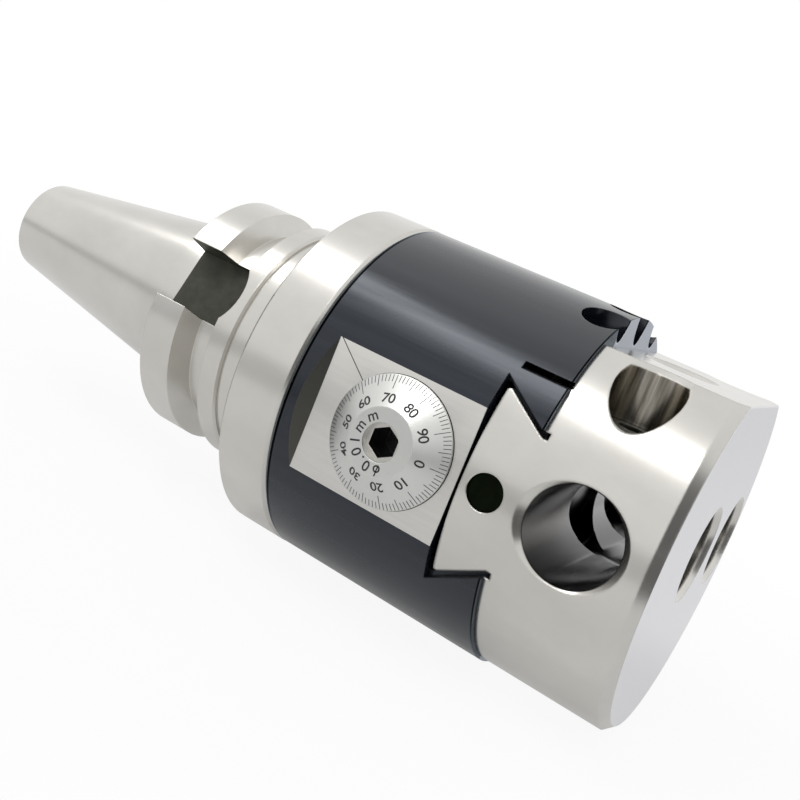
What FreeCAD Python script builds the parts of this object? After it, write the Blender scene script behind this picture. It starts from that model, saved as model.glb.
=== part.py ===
"""Boring head on a 40-taper shank, in millimetres.

Origin: centre of the gauge plane. +X runs from the taper to the nose, the graduated dial
faces -Y, and +Z is the side of the slide that carries the clamp screws.
"""
import FreeCAD, Part
import math
import os
import Sketcher
from FreeCAD import Placement, Rotation, Vector

document = FreeCAD.newDocument("boring_head")
sheet = document.addObject("Spreadsheet::Sheet", "Sizes")

SIZES = {
    # Taper shank and its flange: the 7:24 taper of a 40 size tool holder
    "GaugeDiameter": 44.45,
    "TaperLength": 65.4,
    "TaperEndChamfer": 1.0,
    "FlangeDiameter": 63.0,
    "FlangeStart": 2.0,
    "FlangeEnd": 27.0,
    "FlangeChamfer": 0.6,
    "GrooveStart": 11.6,
    "GrooveMouth": 10.0,
    "GrooveDepth": 5.0,
    "KeySlotWidth": 16.1,
    "KeySlotFloor": 22.6,
    "KeySlotReach": 22.0,
    "KeySlotBulge": 3.5,
    "KeySlotTurn": 21.5,
    "StudThreadRadius": 7.0,
    "StudThreadDepth": 43.0,
    "StudPilotRadius": 8.5,
    "StudPilotDepth": 6.0,
    "NeckRadius": 30.5,
    # Collar of the shank, and the head that seats on it
    "HeadDiameter": 84.0,
    "CollarStart": 37.3,
    "CollarChamfer": 0.8,
    "JointPlane": 51.3,
    "SpigotRadius": 14.0,
    "SpigotLength": 6.0,
    "SpigotClearance": 0.02,
    "SpigotEndGap": 0.5,
    "HeadSetback": 0.1,
    "HeadChamfer": 0.6,
    "FrontPlane": 105.5,
    # Dial pocket and the lead screw's bore
    "PocketWall": 57.6,
    "PocketInset": 2.9,
    "ScrewAxis": 77.2,
    "DialRadius": 14.0,
    "DialGap": 0.2,
    "DialRimHeight": 0.5,
    "DialHubHeight": 2.5,
    "DialHubRadius": 7.3,
    "DialEyeRadius": 4.0,
    "BossRadius": 6.0,
    "BossRecess": 1.0,
    "HexAcross": 6.0,
    "HexDepth": 6.0,
    "RingGrooveDepth": 1.2,
    "RingGrooveWidth": 0.9,
    "RingGrooveRise": 0.4,
    "BushRadius": 9.0,
    "BushLength": 10.0,
    "BushSink": 0.6,
    "ThrustCollarRadius": 8.6,
    "ThrustCollarLength": 3.2,
    "ThrustGap": 0.05,
    "WasherThickness": 1.0,
    "ThreadRadius": 5.0,
    "ThreadBoreRadius": 5.6,
    "ThreadEndInset": 21.0,
    "JournalRadius": 3.5,
    "RearBushRadius": 7.0,
    "RearBushLength": 7.0,
    "RearBushInset": 20.0,
    "DiscSpringThickness": 0.7,
    "DiscSpringCup": 0.5,
    "DiscSpringGap": 0.02,
    "DiscSpringRadius": 6.4,
    "LockNutRadius": 6.2,
    "LockNutThickness": 3.0,
    "LockNutGap": 0.1,
    "LockNutSlotHalf": 1.2,
    "LockNutSlotDepth": 1.0,
    "RearBoreRadius": 9.5,
    "RearCapThickness": 3.5,
    "RearCapInset": 5.0,
    "RearCapChamfer": 0.4,
    "RunningClearance": 0.03,
    "PressGap": 0.01,
    # Dovetail: the tongue of the slide and the jaws of the head
    "DovetailFloor": 93.5,
    "TongueGap": 1.0,
    "TongueHalfWidth": 20.7,
    "FlankAngle": 30.0,
    "FlankClearance": 0.03,
    "FaceClearance": 0.03,
    "TongueCorner": 0.8,
    "JawRelief": 1.3,
    "JawReliefLength": 9.0,
    "NotchWidth": 1.4,
    "NotchDepth": 1.2,
    "SlitLow": 24.6,
    "SlitWidth": 1.5,
    "SlitStart": 95.0,
    # Lock screws across the slit
    "LockPitch": 14.0,
    "LockTilt": 20.0,
    "LockAtSlit": 96.5,
    "LockRadius": 4.0,
    "LockLength": 7.6,
    "LockRecessRadius": 5.0,
    "LockRecessFloor": 9.8,
    "LockSpotDepth": 0.3,
    "LockEndGap": 0.02,
    "LockHexAcross": 4.0,
    "LockTipChamfer": 0.8,
    # Slide with its three tool bores
    "SlideEnd": 135.5,
    "SlideSetback": 0.2,
    "NoseChamfer": 2.0,
    "TopFlatInset": 7.4,
    "ToolBoreRadius": 10.0,
    "BoreChamfer": 1.2,
    "CrossChamfer": 1.7,
    "CrossBorePlace": 118.5,
    "SecondBoreInset": 14.0,
    "AxialBoreStart": 107.0,
    "BoreReliefStart": 112.0,
    "BoreReliefEnd": 124.0,
    "BoreReliefDepth": 0.3,
    "ClampRadius": 7.0,
    "ClampInset": 13.2,
    "ClampLength": 11.0,
    "ClampTipGap": 1.0,
    "ClampHexAcross": 6.0,
    "ClampHexDepth": 6.5,
    "ClampChamfer": 1.2,
    "ClampEndChamfer": 0.9,
    "CentreClampPlace": 117.0,
    "OuterClampPlace": 125.0,
    # Drive nut, its post and locking plug, and the stop pin
    "NutHalfLength": 9.0,
    "NutHalfWidth": 7.4,
    "NutDepth": 7.9,
    "NutSlotGap": 0.3,
    "NutShelfGap": 0.2,
    "NutShoulder": 1.0,
    "Travel": 4.0,
    "SlideShift": 1.6,
    "PostRadius": 6.0,
    "PostEnd": 104.5,
    "PostEndGap": 0.3,
    "PostFlatDepth": 1.0,
    "PostFlatGap": 0.3,
    "PlugRadius": 3.9,
    "PlugPlace": 100.0,
    "PlugRecess": 0.6,
    "PlugChamfer": 0.3,
    "StopPinRadius": 2.5,
    "StopPinPlace": 13.0,
    "StopPinDepth": 8.0,
    "StopPinReach": 3.0,
    "StopPinChamfer": 0.4,
    "StopPinSeatGap": 0.2,
    "StopPinEndGap": 0.3,
    "StopSlotFloorGap": 0.5,
    "StopSlotEndGap": 0.2,
    "StopSlotSideGap": 0.3,
    # Screws and pins that hold the head on the shank
    "BoltAcross": 42.0,
    "BoltRise": 30.0,
    "BoltRadius": 3.0,
    "BoltHoleRadius": 3.3,
    "BoltHeadRadius": 5.0,
    "BoltHeadHeight": 6.0,
    "BoltHeadHole": 5.5,
    "BoltHeadSink": 0.6,
    "BoltGrip": 10.0,
    "BoltHexAcross": 5.0,
    "BoltChamfer": 0.5,
    "DowelRadius": 2.5,
    "DowelPlace": 25.0,
    "DowelHalfLength": 8.0,
    "DowelChamfer": 0.4,
}

for row, (alias, number) in enumerate(SIZES.items(), start=1):
    sheet.set(f"A{row}", alias)
    sheet.set(f"B{row}", str(number))
    sheet.setAlias(f"B{row}", alias)
document.recompute()


class Size:
    """A length or angle that carries its number and the formula over the sheet behind it."""

    def __init__(self, number, formula):
        self.number = number
        self.formula = formula

    def __add__(self, other):
        other = as_size(other)
        return Size(self.number + other.number, f"({self.formula} + {other.formula})")

    def __sub__(self, other):
        other = as_size(other)
        return Size(self.number - other.number, f"({self.formula} - {other.formula})")

    def __mul__(self, other):
        other = as_size(other)
        return Size(self.number * other.number, f"({self.formula} * {other.formula})")

    def __truediv__(self, other):
        other = as_size(other)
        return Size(self.number / other.number, f"({self.formula} / {other.formula})")

    def __neg__(self):
        return Size(-self.number, f"(0 - {self.formula})")


def as_size(value):
    return value if isinstance(value, Size) else Size(float(value), f"({value})")


def size(alias):
    return Size(float(sheet.get(alias)), f"Sizes.{alias}")


def sine(angle):
    return Size(math.sin(math.radians(angle.number)), f"sin({angle.formula} * 1 deg)")


def cosine(angle):
    return Size(math.cos(math.radians(angle.number)), f"cos({angle.formula} * 1 deg)")


def tangent(angle):
    return Size(math.tan(math.radians(angle.number)), f"tan({angle.formula} * 1 deg)")


NOTHING = as_size(0)


def new_body(label):
    body = document.addObject("PartDesign::Body", label)
    body.Label = label
    body.Placement = Placement()
    return body


def add_sketch(body, plane, name, at=(NOTHING, NOTHING, NOTHING), turn=None, about=Vector(0, 0, 1)):
    """A sketch on one of the body's own planes, moved by three sizes and turned by one."""
    sketch = body.newObject("Sketcher::SketchObject", f"{body.Name}_{name}")
    support = next(item for item in body.Origin.OriginFeatures if item.Role == plane)
    sketch.AttachmentSupport = [(support, "")]
    sketch.MapMode = "FlatFace"
    start = Vector(*(as_size(step).number for step in at))
    degrees = turn.number if turn else 0
    sketch.AttachmentOffset = Placement(start, Rotation(about, degrees))
    for axis, step in zip("xyz", at):
        sketch.setExpression(f".AttachmentOffset.Base.{axis}", as_size(step).formula)
    if turn:
        sketch.setExpression(".AttachmentOffset.Rotation.Angle", turn.formula)
    return sketch


def hold_point(sketch, edge, end, across, up):
    """Ties one end of an edge to two sizes measured from the sketch's own origin."""
    for kind, value in (("DistanceX", across), ("DistanceY", up)):
        index = sketch.addConstraint(Sketcher.Constraint(kind, edge, end, value.number))
        sketch.setExpression(f"Constraints[{index}]", value.formula)


def add_outline(sketch, corners):
    """A closed outline of straight lines, with every corner held by its two sizes."""
    corners = [(as_size(across), as_size(up)) for across, up in corners]
    first = sketch.GeometryCount
    count = len(corners)
    for step in range(count):
        start, end = corners[step], corners[(step + 1) % count]
        sketch.addGeometry(Part.LineSegment(
            Vector(start[0].number, start[1].number, 0), Vector(end[0].number, end[1].number, 0)))
    for step in range(count):
        following = first + (step + 1) % count
        sketch.addConstraint(Sketcher.Constraint("Coincident", first + step, 2, following, 1))
        hold_point(sketch, first + step, 1, *corners[step])


def add_circle(sketch, across, up, radius):
    across, up, radius = as_size(across), as_size(up), as_size(radius)
    centre = Vector(across.number, up.number, 0)
    edge = sketch.addGeometry(Part.Circle(centre, Vector(0, 0, 1), radius.number))
    hold_point(sketch, edge, 3, across, up)
    index = sketch.addConstraint(Sketcher.Constraint("Radius", edge, radius.number))
    sketch.setExpression(f"Constraints[{index}]", radius.formula)


def finish_feature(body, feature, removes, previous=None):
    """Recomputes one feature and makes sure that it really added or removed material."""
    previous = previous or feature.BaseFeature
    before = previous.Shape.Volume if previous else 0.0
    document.recompute()
    after = feature.Shape.Volume
    if removes and after >= before - 1e-6:
        raise RuntimeError(f"{feature.Name} removes nothing")
    if not removes and after <= before + 1e-6:
        raise RuntimeError(f"{feature.Name} adds nothing")
    body.Tip = feature
    return feature


def pad(body, sketch, length, backwards=False):
    feature = body.newObject("PartDesign::Pad", f"{sketch.Name}_pad")
    feature.Profile = sketch
    feature.Length = as_size(length).number
    feature.setExpression("Length", as_size(length).formula)
    feature.Reversed = backwards
    return finish_feature(body, feature, False)


def pocket(body, sketch, length, backwards=False):
    feature = body.newObject("PartDesign::Pocket", f"{sketch.Name}_pocket")
    feature.Profile = sketch
    feature.Length = as_size(length).number
    feature.setExpression("Length", as_size(length).formula)
    feature.Reversed = backwards
    return finish_feature(body, feature, True)


def turn_on(body, sketch, axis):
    feature = body.newObject("PartDesign::Revolution", f"{sketch.Name}_turned")
    feature.Profile = sketch
    feature.ReferenceAxis = (sketch, [axis])
    feature.Angle = 360
    return finish_feature(body, feature, False)


def turn_off(body, sketch, axis):
    feature = body.newObject("PartDesign::Groove", f"{sketch.Name}_bored")
    feature.Profile = sketch
    feature.ReferenceAxis = (sketch, [axis])
    feature.Angle = 360
    return finish_feature(body, feature, True)


def turned_on_x(body, name, profile, height=NOTHING, removes=False):
    """Revolves (x, radius) points about the line parallel to X at y = height."""
    sketch = add_sketch(body, "XY_Plane", name, (NOTHING, height, NOTHING))
    add_outline(sketch, profile)
    return turn_off(body, sketch, "H_Axis") if removes else turn_on(body, sketch, "H_Axis")


def turned_on_y(body, name, profile, place, removes=False):
    """Revolves (radius, y) points about the line parallel to Y at x = place, z = 0."""
    sketch = add_sketch(body, "XY_Plane", name, (place, NOTHING, NOTHING))
    add_outline(sketch, profile)
    return turn_off(body, sketch, "V_Axis") if removes else turn_on(body, sketch, "V_Axis")


def turned_on_z(body, name, profile, place, depth, removes=False):
    """Revolves (radius, z) points about the line parallel to Z at x = place, y = depth."""
    sketch = add_sketch(body, "XZ_Plane", name, (place, NOTHING, -depth))
    add_outline(sketch, profile)
    return turn_off(body, sketch, "V_Axis") if removes else turn_on(body, sketch, "V_Axis")


def tube(inner, outer, low, high):
    """The outline of a plain ring for a revolve about the sketch's vertical axis."""
    return [(inner, low), (outer, low), (outer, high), (inner, high)]


def hexagon(across_flats):
    """Corners of a hexagon about the sketch's origin, a flat at the right and the left."""
    half = across_flats / 2
    tip = across_flats / math.sqrt(3)
    waist = tip / 2
    return [(half, -waist), (half, waist), (NOTHING, tip), (-half, waist), (-half, -waist), (NOTHING, -tip)]


head_radius = size("HeadDiameter") / 2
body_radius = head_radius - size("HeadSetback")
slide_radius = head_radius - size("SlideSetback")
beyond = head_radius + 4
gauge_radius = size("GaugeDiameter") / 2
taper_end = -size("TaperLength")
end_radius = gauge_radius - size("TaperLength") * 7 / 48
flange_radius = size("FlangeDiameter") / 2
screw_axis = size("ScrewAxis")
pocket_plane = head_radius - size("PocketInset")
top_flat = head_radius - size("TopFlatInset")
second_bore = head_radius - size("SecondBoreInset")
rear_bush_start = head_radius - size("RearBushInset")
front_plane = size("FrontPlane")
floor_plane = size("DovetailFloor")
tongue_end = floor_plane + size("TongueGap")
flank_slope = tangent(size("FlankAngle"))
clearance = size("RunningClearance")
press_gap = size("PressGap")


def tongue_half(place, spread=NOTHING):
    """Half width of the dovetail at an x place, moved outwards by a gap square to the flank."""
    return size("TongueHalfWidth") - (place - tongue_end) * flank_slope + spread / cosine(size("FlankAngle"))


# Shank: ground taper, flange with its changer groove, neck and the collar that carries the head
def make_taper_shank():
    body = new_body("taper_shank")
    groove_start = size("GrooveStart")
    groove_end = groove_start + size("GrooveMouth")
    groove_run = size("GrooveDepth") * tangent(as_size(30))
    groove_radius = flange_radius - size("GrooveDepth")
    start, end, edge = size("FlangeStart"), size("FlangeEnd"), size("FlangeChamfer")
    collar, joint, bevel = size("CollarStart"), size("JointPlane"), size("CollarChamfer")
    spigot_end = joint + size("SpigotLength")
    end_chamfer = size("TaperEndChamfer")
    chamfer_radius = end_radius + end_chamfer * 7 / 48
    turned_on_x(body, "profile", [
        (taper_end, 0), (taper_end, end_radius - end_chamfer),
        (taper_end + end_chamfer, chamfer_radius), (0, gauge_radius), (start, gauge_radius),
        (start, flange_radius - edge), (start + edge, flange_radius),
        (groove_start, flange_radius), (groove_start + groove_run, groove_radius),
        (groove_end - groove_run, groove_radius), (groove_end, flange_radius),
        (end - edge, flange_radius), (end, flange_radius - edge), (end, size("NeckRadius")),
        (collar, size("NeckRadius")), (collar, head_radius - bevel), (collar + bevel, head_radius),
        (joint - bevel, head_radius), (joint, head_radius - bevel), (joint, size("SpigotRadius")),
        (spigot_end, size("SpigotRadius")), (spigot_end, 0)])
    thread_end = taper_end + size("StudThreadDepth")
    turned_on_x(body, "stud_bore", [
        (taper_end - 1, 0), (taper_end - 1, size("StudPilotRadius")),
        (taper_end + size("StudPilotDepth"), size("StudPilotRadius")),
        (taper_end + size("StudPilotDepth"), size("StudThreadRadius")),
        (thread_end, size("StudThreadRadius")), (thread_end + size("StudThreadRadius") / 2, 0)], removes=True)
    cut_key_slots(body)
    for name, across, up in bolt_places():
        sketch = add_sketch(body, "YZ_Plane", name, (NOTHING, NOTHING, joint + 1))
        add_circle(sketch, across, up, size("BoltRadius") + press_gap)
        pocket(body, sketch, size("BoltGrip") + 2)
    cut_dowel_holes(body, joint + 1, size("DowelHalfLength") + 1)
    return body


def cut_key_slots(body):
    """Two drive slots milled into the flange from the taper side, each with a rounded end."""
    half = size("KeySlotWidth") / 2
    bulge = size("KeySlotBulge")
    straight_end = size("FlangeStart") + size("KeySlotReach") - bulge
    start = size("FlangeStart") - 1
    floor = size("KeySlotFloor")
    tilt = as_size(90) - size("KeySlotTurn")
    sketch = add_sketch(body, "XY_Plane", "key_slot", (NOTHING, -(floor * sine(tilt)), floor * cosine(tilt)),
                        tilt, Vector(1, 0, 0))
    corners = [(straight_end, half), (start, half), (start, -half), (straight_end, -half)]
    points = [Vector(across.number, up.number, 0) for across, up in corners]
    for first, second in zip(points, points[1:]):
        sketch.addGeometry(Part.LineSegment(first, second))
    crown = Vector((straight_end + bulge).number, 0, 0)
    end_arc = sketch.addGeometry(Part.Arc(points[3], crown, points[0]))
    for step, corner in enumerate(corners[:3]):
        hold_point(sketch, step, 1, *corner)
    for step in range(2):
        sketch.addConstraint(Sketcher.Constraint("Coincident", step, 2, step + 1, 1))
    hold_point(sketch, 2, 2, *corners[3])
    sketch.addConstraint(Sketcher.Constraint("Coincident", 2, 2, end_arc, 1))
    sketch.addConstraint(Sketcher.Constraint("Coincident", end_arc, 2, 0, 1))
    arc_radius = (half * half + bulge * bulge) / (bulge * 2)
    index = sketch.addConstraint(Sketcher.Constraint("Radius", end_arc, arc_radius.number))
    sketch.setExpression(f"Constraints[{index}]", arc_radius.formula)
    slot = pocket(body, sketch, flange_radius - floor + 2, backwards=True)
    pattern = body.newObject("PartDesign::PolarPattern", "key_slots")
    pattern.Originals = [slot]
    pattern.Axis = (next(item for item in body.Origin.OriginFeatures if item.Role == "X_Axis"), [""])
    pattern.Angle = 360
    pattern.Occurrences = 2
    finish_feature(body, pattern, True, slot)


def bolt_places():
    across, up = size("BoltAcross") / 2, size("BoltRise") / 2
    return [("bolt_a", across, up), ("bolt_b", -across, up), ("bolt_c", -across, -up), ("bolt_d", across, -up)]


def cut_dowel_holes(body, start, length, backwards=False):
    for name, up in (("dowel_a", size("DowelPlace")), ("dowel_b", -size("DowelPlace"))):
        sketch = add_sketch(body, "YZ_Plane", name, (NOTHING, NOTHING, start))
        add_circle(sketch, NOTHING, up, size("DowelRadius") + press_gap)
        pocket(body, sketch, length, backwards)


# Head body: black cylinder with the dial pocket, the screw's bore, the dovetail jaws and the slit
def make_head_body():
    body = new_body("head_body")
    joint = size("JointPlane")
    bevel = size("HeadChamfer")
    spigot_bore = size("SpigotRadius") + size("SpigotClearance")
    spigot_floor = joint + size("SpigotLength") + size("SpigotEndGap")
    turned_on_x(body, "profile", [
        (joint, spigot_bore), (joint, body_radius - bevel), (joint + bevel, body_radius),
        (front_plane, body_radius), (front_plane, 0), (spigot_floor, 0), (spigot_floor, spigot_bore)])
    cut_dial_pocket(body)
    cut_dovetail(body)
    cut_screw_bore(body)
    cut_nut_slot(body)
    cut_lock_screw_bores(body)
    for name, across, up in bolt_places():
        seat = add_sketch(body, "YZ_Plane", name + "_head", (NOTHING, NOTHING, floor_plane + 1))
        add_circle(seat, across, up, size("BoltHeadHole"))
        pocket(body, seat, size("BoltHeadHeight") + size("BoltHeadSink") + 1)
        hole = add_sketch(body, "YZ_Plane", name, (NOTHING, NOTHING, floor_plane))
        add_circle(hole, across, up, size("BoltHoleRadius"))
        pocket(body, hole, floor_plane - joint + 1)
    cut_dowel_holes(body, joint - 1, size("DowelHalfLength") + 1, backwards=True)
    stop = add_sketch(body, "YZ_Plane", "stop_hole", (NOTHING, NOTHING, floor_plane + 1))
    add_circle(stop, NOTHING, -size("StopPinPlace"), size("StopPinRadius") + press_gap)
    pocket(body, stop, size("StopPinDepth") + 1)
    return body


def cut_dial_pocket(body):
    """A flat parallel to the axis, with an end wall that leans back at 45 degrees."""
    sketch = add_sketch(body, "XY_Plane", "dial_flat", (NOTHING, NOTHING, -beyond))
    wall = size("PocketWall")
    rise = beyond - pocket_plane
    add_outline(sketch, [(wall, -pocket_plane), (wall - rise, -beyond), (front_plane + 1, -beyond),
                         (front_plane + 1, -pocket_plane)])
    pocket(body, sketch, beyond * 2, backwards=True)


def dovetail_outline(spread, floor):
    """The female dovetail from its floor to past the front plane."""
    mouth = front_plane + 1
    return [(floor, tongue_half(floor, spread)), (floor, -tongue_half(floor, spread)),
            (mouth, -tongue_half(mouth, spread)), (mouth, tongue_half(mouth, spread))]


def cut_dovetail(body):
    sketch = add_sketch(body, "XZ_Plane", "dovetail", (NOTHING, NOTHING, beyond))
    add_outline(sketch, dovetail_outline(size("FlankClearance"), floor_plane))
    pocket(body, sketch, beyond * 2)
    # The jaws are relieved where they come out at the two sides of the head
    relief = head_radius - size("JawReliefLength")
    for name, start in (("relief_front", beyond), ("relief_rear", -relief)):
        sketch = add_sketch(body, "XZ_Plane", name, (NOTHING, NOTHING, start))
        add_outline(sketch, dovetail_outline(size("JawRelief"), floor_plane))
        pocket(body, sketch, beyond - relief)
    # The slit lets the upper jaw flex, so that it works as its own gib
    low, high = size("SlitLow"), size("SlitLow") + size("SlitWidth")
    sketch = add_sketch(body, "XZ_Plane", "slit", (NOTHING, NOTHING, beyond))
    add_outline(sketch, [(size("SlitStart"), low), (size("SlitStart"), high), (front_plane + 1, high),
                         (front_plane + 1, low)])
    pocket(body, sketch, beyond * 2)


def thrust_shoulder():
    """Distance from the tool axis to the shoulder that takes the screw's thrust."""
    bush_end = pocket_plane - size("BushSink") - size("BushLength")
    return bush_end - size("ThrustCollarLength") - size("ThrustGap") * 2 - size("WasherThickness")


def cut_screw_bore(body):
    bush = size("BushRadius") + press_gap
    rear_bush = size("RearBushRadius") + press_gap
    turned_on_y(body, "screw_bore", [
        (0, -beyond), (bush, -beyond), (bush, -thrust_shoulder()),
        (size("ThreadBoreRadius"), -thrust_shoulder()), (size("ThreadBoreRadius"), rear_bush_start),
        (rear_bush, rear_bush_start), (rear_bush, rear_bush_start + size("RearBushLength")),
        (size("RearBoreRadius"), rear_bush_start + size("RearBushLength")),
        (size("RearBoreRadius"), beyond), (0, beyond)], screw_axis, removes=True)


def cut_nut_slot(body):
    """The slot that the drive nut runs in, with room for the whole travel."""
    half_length = size("NutHalfLength") + size("Travel") + size("NutSlotGap") * 2
    half_width = size("NutHalfWidth") + size("NutSlotGap")
    depth = floor_plane - screw_axis + size("NutDepth") + size("NutSlotGap")
    sketch = add_sketch(body, "YZ_Plane", "nut_slot", (NOTHING, NOTHING, floor_plane + 1))
    add_outline(sketch, [(-half_length, -half_width), (half_length, -half_width),
                         (half_length, half_width), (-half_length, half_width)])
    pocket(body, sketch, depth + 1)


def lock_screw_sketch(body, name, depth):
    """A sketch whose own x axis is a lock screw's axis, from the middle of the slit outwards."""
    rise = size("SlitLow") + size("SlitWidth") / 2
    lean = as_size(90) - size("LockTilt")
    return add_sketch(body, "XZ_Plane", name, (size("LockAtSlit"), rise, -depth), lean)


def lock_spot():
    """Floor of the spot that each lock screw's drill leaves beyond the slit."""
    return -(size("SlitWidth") / 2 + size("LockSpotDepth"))


LOCK_STEPS = {"lock_screw_front": -1, "lock_screw_middle": 0, "lock_screw_rear": 1}


def cut_lock_screw_bores(body):
    low = lock_spot()
    for name, step in LOCK_STEPS.items():
        sketch = lock_screw_sketch(body, name + "_bore", size("LockPitch") * step)
        hole = size("LockRadius") + clearance
        floor = size("LockRecessFloor")
        add_outline(sketch, [(low, 0), (low, hole), (floor, hole),
                             (floor, size("LockRecessRadius")), (beyond, size("LockRecessRadius")), (beyond, 0)])
        turn_off(body, sketch, "H_Axis")


# Screws and pins between the shank and the head
def make_body_screws():
    under_head = floor_plane - size("BoltHeadSink") - size("BoltHeadHeight")
    pieces = []
    for name, across, up in bolt_places():
        body = new_body(name)
        sketch = add_sketch(body, "XZ_Plane", "profile", (NOTHING, up, -across))
        tip = size("JointPlane") - size("BoltGrip")
        rim = size("BoltChamfer")
        head_top = floor_plane - size("BoltHeadSink")
        add_outline(sketch, [
            (tip, 0), (tip, size("BoltRadius") - rim), (tip + rim, size("BoltRadius")),
            (under_head, size("BoltRadius")), (under_head, size("BoltHeadRadius")),
            (head_top - rim, size("BoltHeadRadius")), (head_top, size("BoltHeadRadius") - rim), (head_top, 0)])
        turn_on(body, sketch, "H_Axis")
        socket = add_sketch(body, "YZ_Plane", "socket", (across, up, head_top))
        add_outline(socket, hexagon(size("BoltHexAcross")))
        pocket(body, socket, size("BoltHeadHeight") / 2)
        pieces.append(body)
    return join_group("body_screws", pieces)


def join_group(label, pieces):
    """Identical loose pieces that share one file as separate solids."""
    group = document.addObject("Part::Compound", label)
    group.Label = label
    group.Links = pieces
    document.recompute()
    return group


def make_body_dowels():
    pieces = []
    joint, half, rim = size("JointPlane"), size("DowelHalfLength"), size("DowelChamfer")
    for name, up in (("dowel_upper", size("DowelPlace")), ("dowel_lower", -size("DowelPlace"))):
        body = new_body(name)
        sketch = add_sketch(body, "XZ_Plane", "profile", (NOTHING, up, NOTHING))
        radius = size("DowelRadius")
        low, high = joint - half + rim, joint + half - rim
        add_outline(sketch, [(low, 0), (low, radius - rim), (low + rim, radius), (high - rim, radius),
                             (high, radius - rim), (high, 0)])
        turn_on(body, sketch, "H_Axis")
        pieces.append(body)
    return join_group("body_dowels", pieces)


# Bearings of the lead screw, and the parts that keep it in place
def make_front_bush():
    body = new_body("front_bush")
    outer = pocket_plane - size("BushSink")
    inner = outer - size("BushLength")
    turned_on_y(body, "profile", tube(size("BossRadius") + clearance, size("BushRadius"), -outer, -inner), screw_axis)
    return body


def make_thrust_washer():
    body = new_body("thrust_washer")
    low = -(thrust_shoulder() + size("WasherThickness"))
    turned_on_y(body, "profile", tube(size("ThreadBoreRadius"), size("ThrustCollarRadius"), low,
                                      -thrust_shoulder()), screw_axis)
    return body


def make_rear_bush():
    body = new_body("rear_bush")
    low = rear_bush_start
    turned_on_y(body, "profile", tube(size("JournalRadius") + clearance, size("RearBushRadius"), low,
                                      low + size("RearBushLength")), screw_axis)
    return body


def disc_spring_start():
    return rear_bush_start + size("RearBushLength") + size("ThrustGap")


def make_disc_springs():
    """Two cupped washers back to back, which take up the screw's end play."""
    pieces = []
    thick = size("DiscSpringThickness")
    inner, outer = size("JournalRadius") + clearance * 3, size("DiscSpringRadius")
    cup = size("DiscSpringCup")
    for name, order in (("disc_spring_inner", 0), ("disc_spring_outer", 1)):
        low = disc_spring_start() + (thick + cup + size("DiscSpringGap")) * order
        lean = cup * (1 - order)
        other = cup * order
        body = new_body(name)
        turned_on_y(body, "profile", [(inner, low + lean), (outer, low + other), (outer, low + thick + other),
                                      (inner, low + thick + lean)], screw_axis)
        pieces.append(body)
    return join_group("disc_springs", pieces)


def lock_nut_start():
    return disc_spring_start() + (size("DiscSpringThickness") + size("DiscSpringCup")) * 2 + size("LockNutGap")


def make_lock_nut():
    body = new_body("lock_nut")
    low = lock_nut_start()
    high = low + size("LockNutThickness")
    turned_on_y(body, "profile", tube(size("JournalRadius") + press_gap, size("LockNutRadius"), low, high), screw_axis)
    sketch = add_sketch(body, "XY_Plane", "slots", (screw_axis, NOTHING, -size("LockNutRadius") - 1))
    width, floor = size("LockNutSlotHalf"), high - size("LockNutSlotDepth")
    add_outline(sketch, [(-width, floor), (width, floor), (width, high + 1), (-width, high + 1)])
    pocket(body, sketch, size("LockNutRadius") * 2 + 2, backwards=True)
    return body


def make_rear_cap():
    """Screwed plug that closes the bore on the side away from the dial."""
    body = new_body("rear_cap")
    low = head_radius - size("RearCapInset")
    high = low + size("RearCapThickness")
    rim = size("RearCapChamfer")
    radius = size("RearBoreRadius") - clearance
    turned_on_y(body, "profile", [(0, low), (radius, low), (radius, high - rim), (radius - rim, high), (0, high)],
                screw_axis)
    sketch = add_sketch(body, "XZ_Plane", "socket", (screw_axis, NOTHING, -high))
    add_outline(sketch, hexagon(size("ClampHexAcross")))
    pocket(body, sketch, size("RearCapThickness") / 2, backwards=True)
    return body


# Lead screw and its dial
def make_lead_screw():
    body = new_body("lead_screw")
    boss = size("BossRadius")
    top = pocket_plane + size("DialGap") + size("DialHubHeight") - size("BossRecess")
    ring_high = pocket_plane + size("DialGap") + size("DialRimHeight") + size("RingGrooveRise")
    ring_low = ring_high - size("RingGrooveWidth")
    ring_floor = boss - size("RingGrooveDepth")
    collar_top = pocket_plane - size("BushSink") - size("BushLength") - size("ThrustGap")
    collar_low = collar_top - size("ThrustCollarLength")
    thread_end = head_radius - size("ThreadEndInset")
    turned_on_y(body, "profile", [
        (0, -top), (boss, -top), (boss, -ring_high), (ring_floor, -ring_high), (ring_floor, -ring_low),
        (boss, -ring_low), (boss, -collar_top), (size("ThrustCollarRadius"), -collar_top),
        (size("ThrustCollarRadius"), -collar_low), (size("ThreadRadius"), -collar_low),
        (size("ThreadRadius"), thread_end), (size("JournalRadius"), thread_end),
        (size("JournalRadius"), lock_nut_start() + size("LockNutThickness")),
        (0, lock_nut_start() + size("LockNutThickness"))], screw_axis)
    socket = add_sketch(body, "XZ_Plane", "socket", (screw_axis, NOTHING, top))
    add_outline(socket, hexagon(size("HexAcross")))
    pocket(body, socket, size("HexDepth"))
    return body


def make_dial():
    """Graduated ring: a thin rim, a shallow cone for the scale and a flat raised hub."""
    body = new_body("dial")
    base = pocket_plane + size("DialGap")
    rim = base + size("DialRimHeight")
    hub = base + size("DialHubHeight")
    seat = hub - size("BossRecess") + press_gap
    bore = size("BossRadius") + press_gap
    turned_on_y(body, "profile", [
        (bore, -base), (size("DialRadius"), -base), (size("DialRadius"), -rim), (size("DialHubRadius"), -hub),
        (size("DialEyeRadius"), -hub), (size("DialEyeRadius"), -seat), (bore, -seat)], screw_axis)
    return body


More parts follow.
